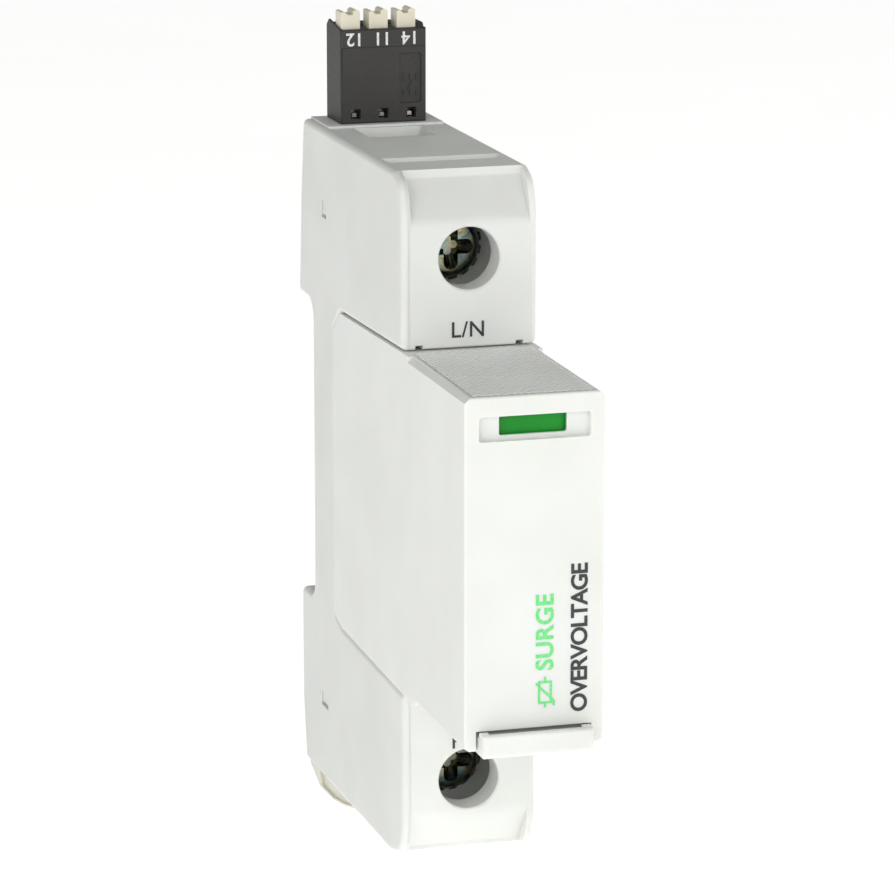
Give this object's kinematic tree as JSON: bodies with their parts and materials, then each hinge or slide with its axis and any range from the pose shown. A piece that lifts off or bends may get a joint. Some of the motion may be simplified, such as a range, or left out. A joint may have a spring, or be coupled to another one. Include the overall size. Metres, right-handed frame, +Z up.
{
  "type": "surge protective device",
  "caption": "One-module DIN-rail surge protector: plug-in varistor cartridge in a base with two screw terminals, a status window and a pluggable remote-signal connector.",
  "frame": {"origin": "middle of the seat that rests on the 35 mm rail, mid width", "axes": "+X across the module, to the right seen from the front; +Y into the rail, so the front faces -Y; +Z up"},
  "size_m": [0.0178, 0.0817, 0.1084],
  "materials": {
    "housing": "moulded, fine texture",
    "plug_plastic": "moulded, fine texture",
    "foot_plastic": "moulded, satin",
    "lever_plastic": "moulded, satin",
    "connector_plastic": "moulded, fine texture",
    "black_plastic": "moulded",
    "green_plastic": "moulded",
    "red_plastic": "moulded",
    "board": "solder mask",
    "epoxy": "dipped coating",
    "steel": "drawn wire",
    "zinc_screw": "zinc plated, passivated",
    "nickel": "nickel plated",
    "copper_alloy": "stamped",
    "silver_contact": "silver plated"
  },
  "bodies": {
    "base": {"base_shell": "housing", "base_side_cover": "housing", "foot_spring": "steel", "upper_busbar": "copper_alloy", "lower_busbar": "copper_alloy", "upper_contact_jaw": "copper_alloy", "lower_contact_jaw": "copper_alloy", "signal_board": "board", "signal_header": "black_plastic", "header_pins": "silver_contact", "microswitch_body": "black_plastic"},
    "foot": {"din_foot": "foot_plastic"},
    "upper_screw": {"upper_terminal_screw": "zinc_screw"},
    "lower_screw": {"lower_terminal_screw": "zinc_screw"},
    "upper_cage": {"upper_clamp_cage": "nickel"},
    "lower_cage": {"lower_clamp_cage": "nickel"},
    "signal_plunger": {"signal_pin": "foot_plastic", "microswitch_button": "red_plastic"},
    "connector": {"connector_body": "connector_plastic", "connector_sockets": "silver_contact", "connector_springs": "steel"},
    "lever_12": {"release_lever_12": "lever_plastic"},
    "lever_11": {"release_lever_11": "lever_plastic"},
    "lever_14": {"release_lever_14": "lever_plastic"},
    "plug": {"plug_shell": "plug_plastic", "plug_rear_cover": "plug_plastic", "upper_blade": "silver_contact", "lower_blade": "silver_contact", "varistor_block": "epoxy", "front_electrode": "copper_alloy", "solder_electrode": "copper_alloy", "disconnect_pivot": "steel", "disconnect_spring": "steel", "fault_panel": "red_plastic", "coding_peg": "foot_plastic", "latch_pin": "steel"},
    "arm": {"disconnect_arm": "copper_alloy"},
    "flag": {"status_flag": "green_plastic"},
    "latch": {"latch_bar": "plug_plastic"}
  },
  "joints": [
    {"name": "foot_slide", "type": "slide", "parent": "base", "child": "foot", "axis": [0, 0, -1], "range_m": [0, 0.0035], "stiffness_N_per_m": 2000, "deforming": ["foot_spring"]},
    {"name": "upper_screw_turn", "type": "hinge", "parent": "base", "child": "upper_screw", "pos_m": [0, -0.036, 0.0341], "axis": [0, 1, 0], "range_deg": [0, 4050]},
    {"name": "upper_cage_rise", "type": "slide", "parent": "base", "child": "upper_cage", "axis": [0, -1, 0], "range_m": [0, 0.009]},
    {"name": "lower_screw_turn", "type": "hinge", "parent": "base", "child": "lower_screw", "pos_m": [0, -0.036, -0.0341], "axis": [0, 1, 0], "range_deg": [0, 4050]},
    {"name": "lower_cage_rise", "type": "slide", "parent": "base", "child": "lower_cage", "axis": [0, -1, 0], "range_m": [0, 0.009]},
    {"name": "plug_pull", "type": "slide", "parent": "base", "child": "plug", "axis": [0, -1, 0], "range_m": [0, 0.045]},
    {"name": "arm_release", "type": "hinge", "parent": "plug", "child": "arm", "pos_m": [0.0048, -0.022, -0.004], "axis": [1, 0, 0], "range_deg": [0, 25]},
    {"name": "flag_drop", "type": "slide", "parent": "plug", "child": "flag", "axis": [0, 0, -1], "range_m": [0, 0.0034]},
    {"name": "signal_release", "type": "slide", "parent": "base", "child": "signal_plunger", "axis": [0, -1, 0], "range_m": [0, 0.0012]},
    {"name": "latch_press", "type": "hinge", "parent": "plug", "child": "latch", "pos_m": [0, -0.06, -0.0206], "axis": [1, 0, 0], "range_deg": [0, 3], "stiffness_Nm_per_rad": 0.3},
    {"name": "connector_unplug", "type": "slide", "parent": "base", "child": "connector", "axis": [0, 0, 1], "range_m": [0, 0.012]},
    {"name": "lever_12_press", "type": "slide", "parent": "connector", "child": "lever_12", "axis": [0, 0, -1], "range_m": [0, 0.001], "stiffness_N_per_m": 3000},
    {"name": "lever_11_press", "type": "slide", "parent": "connector", "child": "lever_11", "axis": [0, 0, -1], "range_m": [0, 0.001], "stiffness_N_per_m": 3000},
    {"name": "lever_14_press", "type": "slide", "parent": "connector", "child": "lever_14", "axis": [0, 0, -1], "range_m": [0, 0.001], "stiffness_N_per_m": 3000}
  ],
  "couplings": [
    {"joint": "upper_screw_turn", "follows": "upper_cage_rise", "rad_per_m": 7854},
    {"joint": "lower_screw_turn", "follows": "lower_cage_rise", "rad_per_m": 7854},
    {"joint": "flag_drop", "follows": "arm_release", "m_per_rad": 0.0077922},
    {"joint": "signal_release", "follows": "arm_release", "m_per_rad": 0.0027502}
  ]
}
